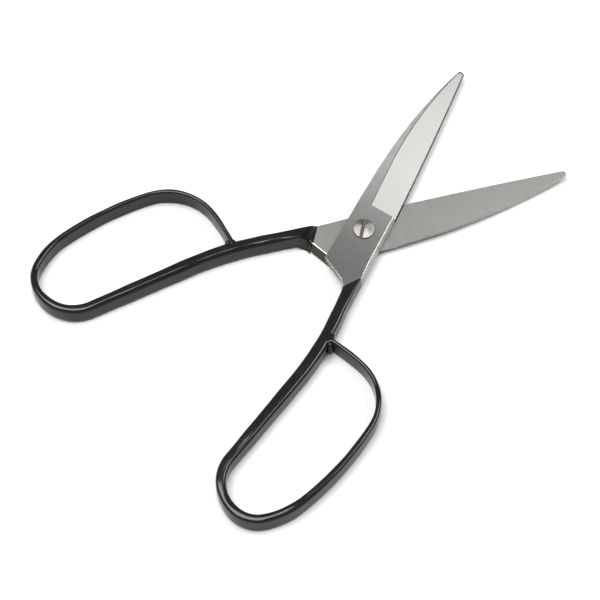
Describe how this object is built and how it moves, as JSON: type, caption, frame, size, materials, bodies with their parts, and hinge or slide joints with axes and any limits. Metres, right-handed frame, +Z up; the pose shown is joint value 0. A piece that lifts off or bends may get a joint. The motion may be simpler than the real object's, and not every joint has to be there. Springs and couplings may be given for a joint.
{
  "type": "long-loop shears",
  "caption": "Open long-loop shears: forged steel blades crossing on a slotted pivot screw, with slim flat-bar finger bows dipped in glossy black vinyl.",
  "frame": {"origin": "middle of the footprint on the table, with the shears lying open at rest", "axes": "+Y along the line halfway between the blades, towards the tips; +Z up, along the pivot screw; +X to the upper half's bow"},
  "size_m": [0.138, 0.181, 0.0091],
  "materials": {
    "blade_steel": "satin, ground bevel brighter",
    "bow_steel": "drawn bar, under the coating",
    "weld_steel": "as welded, under the coating",
    "black_vinyl": "glossy dip",
    "screw_steel": "turned, bright"
  },
  "bodies": {
    "lower_half": {"lower_blade": "blade_steel", "lower_bow": "bow_steel", "lower_bow_weld": "weld_steel", "lower_coating": "black_vinyl", "pivot_screw": "screw_steel", "lock_nut": "screw_steel"},
    "upper_half": {"upper_blade": "blade_steel", "upper_bow": "bow_steel", "upper_bow_weld": "weld_steel", "upper_coating": "black_vinyl"}
  },
  "joints": [
    {"name": "blade_pivot", "type": "hinge", "parent": "lower_half", "child": "upper_half", "pos_m": [0.00011, 0.01676, 0.004], "axis": [0, 0, 1], "range_deg": [-42.2, 55]}
  ]
}
